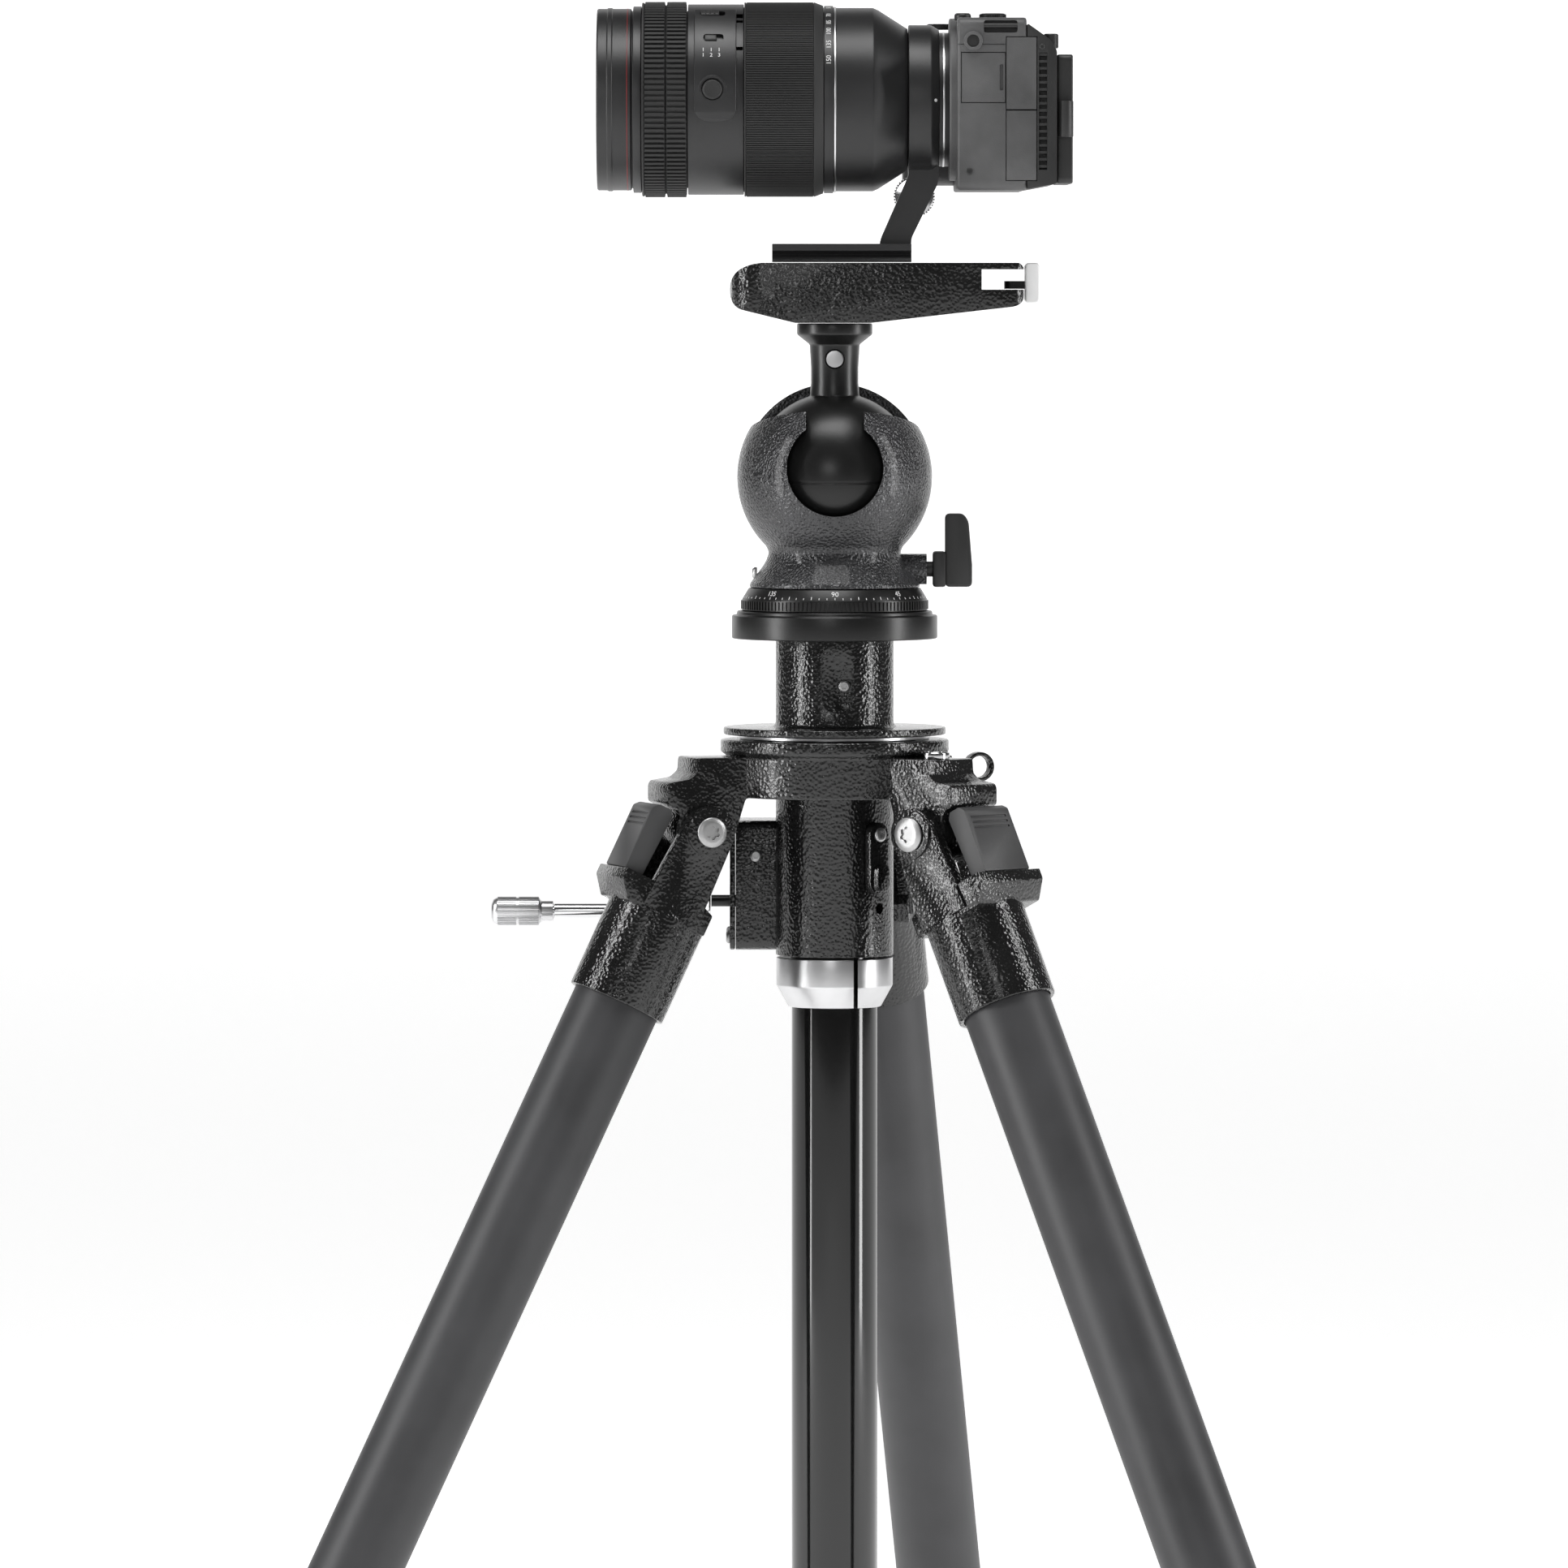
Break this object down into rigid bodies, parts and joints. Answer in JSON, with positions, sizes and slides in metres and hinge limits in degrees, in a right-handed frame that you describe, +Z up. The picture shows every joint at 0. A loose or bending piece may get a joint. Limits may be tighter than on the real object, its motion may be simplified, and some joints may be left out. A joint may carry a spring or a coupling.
{
  "type": "film camera on tripod",
  "caption": "Compact cinema camera with a long zoom lens on a ball head, geared centre column and folding carbon legs.",
  "frame": {"origin": "on the floor, under the middle of the whole object's box", "axes": "+Z up, the lens looks along -X, the camera's port side faces -Y"},
  "size_m": [0.583, 0.5676, 0.9163],
  "materials": {
    "hammered_black": "cast aluminium in hammered gloss black paint",
    "hammered_grey": "cast aluminium in hammered grey paint",
    "satin_black": "satin black anodised",
    "gloss_black": "polished black anodised",
    "carbon": "satin lacquered carbon fibre",
    "aluminium": "brushed",
    "chrome": "polished",
    "rubber": "ribbed matt rubber",
    "grey_plastic": "moulded satin grey",
    "black_plastic": "moulded fine-textured black",
    "lens_black": "fine satin black coating",
    "shell_grey": "speckled grey powder coat",
    "lever_white": "pale satin",
    "glass": "coated optical glass",
    "level_glass": "clear green-tinted level"
  },
  "bodies": {
    "stand": {"crown_casting": "hammered_black", "bubble_level": "level_glass", "strap_hook": "hammered_black", "column_sleeve": "hammered_black", "gearbox_cover": "hammered_black", "collet_collar": "aluminium"},
    "leg_left": {"leg_casting_left": "hammered_black", "hinge_bolt_left": "chrome", "leg_upper_tube_left": "carbon"},
    "tab_left": {"angle_tab_left": "grey_plastic"},
    "lock_left": {"twist_lock_left": "rubber"},
    "lower_leg_left": {"leg_lower_tube_left": "carbon", "foot_left": "rubber"},
    "leg_right": {"leg_casting_right": "hammered_black", "hinge_bolt_right": "chrome", "leg_upper_tube_right": "carbon"},
    "tab_right": {"angle_tab_right": "grey_plastic"},
    "lock_right": {"twist_lock_right": "rubber"},
    "lower_leg_right": {"leg_lower_tube_right": "carbon", "foot_right": "rubber"},
    "leg_back": {"leg_casting_back": "hammered_black", "hinge_bolt_back": "chrome", "leg_upper_tube_back": "carbon"},
    "tab_back": {"angle_tab_back": "grey_plastic"},
    "lock_back": {"twist_lock_back": "rubber"},
    "lower_leg_back": {"leg_lower_tube_back": "carbon", "foot_back": "rubber"},
    "column": {"column_tube": "gloss_black", "column_neck": "hammered_black", "head_flange": "satin_black", "pan_scale_ring": "satin_black"},
    "crank": {"pinion_shaft": "satin_black", "crank_arm": "chrome"},
    "crank_knob": {"crank_knob": "aluminium"},
    "brake_lever": {"column_lock_lever": "hammered_black"},
    "ball_head": {"ball_housing": "hammered_grey"},
    "pan_knob": {"pan_lock_knob": "black_plastic"},
    "ball_knob": {"ball_lock_knob": "rubber"},
    "ball": {"ball_stem": "satin_black"},
    "platform": {"platform": "hammered_black", "lens_foot": "lens_black"},
    "clamp_lever": {"platform_lever": "lever_white"},
    "foot_knob": {"foot_knob": "chrome"},
    "camera": {"lens_rear_barrel": "lens_black", "lens_mid_barrel": "lens_black", "camera_front_shell": "shell_grey", "camera_rear_frame": "black_plastic"},
    "zoom_ring": {"zoom_ring": "rubber"},
    "front_barrel": {"lens_front_barrel": "lens_black", "front_glass": "glass"},
    "focus_ring": {"focus_ring": "rubber"},
    "focus_button": {"focus_hold_button": "rubber"},
    "mode_switch": {"focus_mode_switch": "black_plastic"},
    "door_front": {"port_door_front": "shell_grey"},
    "door_upper": {"port_door_upper": "shell_grey"},
    "door_lower": {"port_door_lower": "shell_grey"},
    "record_button": {"record_button": "black_plastic"},
    "top_dial": {"top_dial": "black_plastic"},
    "screen": {"screen_hinge": "black_plastic", "screen_panel": "black_plastic"}
  },
  "joints": [
    {"name": "leg_fold_left", "type": "hinge", "parent": "stand", "child": "leg_left", "pos_m": [-0.03001, -0.06974, 0.53973], "axis": [-0.309, 0.9511, 0], "range_deg": [-25.9, 0]},
    {"name": "angle_tab_pull_left", "type": "slide", "parent": "leg_left", "child": "tab_left", "axis": [-0.8555, -0.278, 0.4368], "range_m": [0, 0.006], "stiffness_N_per_m": 300, "springref_m": -0.002},
    {"name": "twist_lock_turn_left", "type": "hinge", "parent": "leg_left", "child": "lock_left", "pos_m": [-0.24312, -0.13898, 0.07826], "axis": [-0.4154, -0.135, -0.8996], "range_deg": [0, 90]},
    {"name": "leg_section_slide_left", "type": "slide", "parent": "leg_left", "child": "lower_leg_left", "axis": [-0.4154, -0.135, -0.8996], "range_m": [0, 0.36]},
    {"name": "leg_fold_right", "type": "hinge", "parent": "stand", "child": "leg_right", "pos_m": [0.08265, -0.09369, 0.53973], "axis": [-0.6691, -0.7431, 0], "range_deg": [-25.9, 0]},
    {"name": "angle_tab_pull_right", "type": "slide", "parent": "leg_right", "child": "tab_right", "axis": [0.6685, -0.6019, 0.4368], "range_m": [0, 0.006], "stiffness_N_per_m": 300, "springref_m": -0.002},
    {"name": "twist_lock_turn_right", "type": "hinge", "parent": "leg_right", "child": "lock_right", "pos_m": [0.24918, -0.24363, 0.07826], "axis": [0.3246, -0.2923, -0.8996], "range_deg": [0, 90]},
    {"name": "leg_section_slide_right", "type": "slide", "parent": "leg_right", "child": "lower_leg_right", "axis": [0.3246, -0.2923, -0.8996], "range_m": [0, 0.36]},
    {"name": "leg_fold_back", "type": "hinge", "parent": "stand", "child": "leg_back", "pos_m": [0.04706, 0.01586, 0.53973], "axis": [0.9781, -0.2079, 0], "range_deg": [-25.9, 0]},
    {"name": "angle_tab_pull_back", "type": "slide", "parent": "leg_back", "child": "tab_back", "axis": [0.187, 0.8799, 0.4368], "range_m": [0, 0.006], "stiffness_N_per_m": 300, "springref_m": -0.002},
    {"name": "twist_lock_turn_back", "type": "hinge", "parent": "leg_back", "child": "lock_back", "pos_m": [0.09365, 0.23504, 0.07826], "axis": [0.0908, 0.4273, -0.8996], "range_deg": [0, 90]},
    {"name": "leg_section_slide_back", "type": "slide", "parent": "leg_back", "child": "lower_leg_back", "axis": [0.0908, 0.4273, -0.8996], "range_m": [0, 0.36]},
    {"name": "column_lift", "type": "slide", "parent": "stand", "child": "column", "axis": [0, 0, 1], "range_m": [0, 0.25]},
    {"name": "crank_turn", "type": "hinge", "parent": "stand", "child": "crank", "pos_m": [0.03323, -0.02224, 0.50484], "axis": [1, 0, 0], "continuous": true},
    {"name": "crank_knob_spin", "type": "hinge", "parent": "crank", "child": "crank_knob", "pos_m": [-0.11177, -0.00105, 0.49892], "axis": [1, 0, 0], "continuous": true},
    {"name": "column_brake_turn", "type": "hinge", "parent": "stand", "child": "brake_lever", "pos_m": [0.05108, -0.06972, 0.53773], "axis": [0.6561, -0.7547, 0], "range_deg": [-60, 0]},
    {"name": "pan_turn", "type": "hinge", "parent": "column", "child": "ball_head", "pos_m": [0.03323, -0.04919, 0.64943], "axis": [0, 0, 1], "continuous": true},
    {"name": "pan_knob_turn", "type": "hinge", "parent": "ball_head", "child": "pan_knob", "pos_m": [0.07923, -0.04919, 0.65794], "axis": [1, 0, 0], "range_deg": [-90, 90]},
    {"name": "ball_knob_turn", "type": "hinge", "parent": "ball_head", "child": "ball_knob", "pos_m": [0.03323, 0.00581, 0.70013], "axis": [0, 1, 0], "range_deg": [0, 270]},
    {"name": "ball_tilt", "type": "hinge", "parent": "ball_head", "child": "ball", "pos_m": [0.03323, -0.04919, 0.70013], "axis": [1, 0, 0], "range_deg": [0, 90]},
    {"name": "platform_turn", "type": "hinge", "parent": "ball", "child": "platform", "pos_m": [0.03323, -0.04919, 0.77014], "axis": [0, 0, 1], "continuous": true},
    {"name": "clamp_lever_turn", "type": "hinge", "parent": "platform", "child": "clamp_lever", "pos_m": [0.11423, -0.04019, 0.78673], "axis": [0, 0, 1], "range_deg": [0, 90]},
    {"name": "foot_knob_turn", "type": "hinge", "parent": "platform", "child": "foot_knob", "pos_m": [0.06963, -0.03219, 0.82773], "axis": [0, 1, 0], "range_deg": [0, 270]},
    {"name": "collar_turn", "type": "hinge", "parent": "platform", "child": "camera", "pos_m": [0.07183, -0.04919, 0.87174], "axis": [1, 0, 0], "range_deg": [0, 90]},
    {"name": "zoom_turn", "type": "hinge", "parent": "camera", "child": "zoom_ring", "pos_m": [0.00823, -0.04919, 0.87174], "axis": [1, 0, 0], "range_deg": [0, 75]},
    {"name": "front_barrel_slide", "type": "slide", "parent": "camera", "child": "front_barrel", "axis": [-1, 0, 0], "range_m": [0, 0.045]},
    {"name": "focus_turn", "type": "hinge", "parent": "camera", "child": "focus_ring", "pos_m": [-0.04377, -0.04919, 0.87174], "axis": [1, 0, 0], "continuous": true},
    {"name": "focus_button_press", "type": "slide", "parent": "camera", "child": "focus_button", "axis": [0, 1, 0], "range_m": [0, 0.001], "stiffness_N_per_m": 400, "springref_m": -0.0005},
    {"name": "mode_switch_slide", "type": "slide", "parent": "camera", "child": "mode_switch", "axis": [1, 0, 0], "range_m": [0, 0.0024]},
    {"name": "door_front_open", "type": "hinge", "parent": "camera", "child": "door_front", "pos_m": [0.09023, -0.09919, 0.88074], "axis": [0, 0, -1], "range_deg": [0, 100]},
    {"name": "door_upper_open", "type": "hinge", "parent": "camera", "child": "door_upper", "pos_m": [0.12403, -0.09919, 0.88274], "axis": [0, 0, 1], "range_deg": [0, 100]},
    {"name": "door_lower_open", "type": "hinge", "parent": "camera", "child": "door_lower", "pos_m": [0.12403, -0.09919, 0.84974], "axis": [0, 0, 1], "range_deg": [0, 100]},
    {"name": "record_button_press", "type": "slide", "parent": "camera", "child": "record_button", "axis": [0, 0, -1], "range_m": [0, 0.001], "stiffness_N_per_m": 400, "springref_m": -0.0005},
    {"name": "top_dial_turn", "type": "hinge", "parent": "camera", "child": "top_dial", "pos_m": [0.10483, -0.06519, 0.90873], "axis": [0, 0, 1], "continuous": true},
    {"name": "screen_swing", "type": "hinge", "parent": "camera", "child": "screen", "pos_m": [0.13713, -0.09519, 0.86223], "axis": [0, 0, -1], "range_deg": [0, 175]}
  ],
  "couplings": [
    {"joint": "crank_turn", "follows": "column_lift", "rad_per_m": -111.11},
    {"joint": "front_barrel_slide", "follows": "zoom_turn", "m_per_rad": 0.034374}
  ]
}
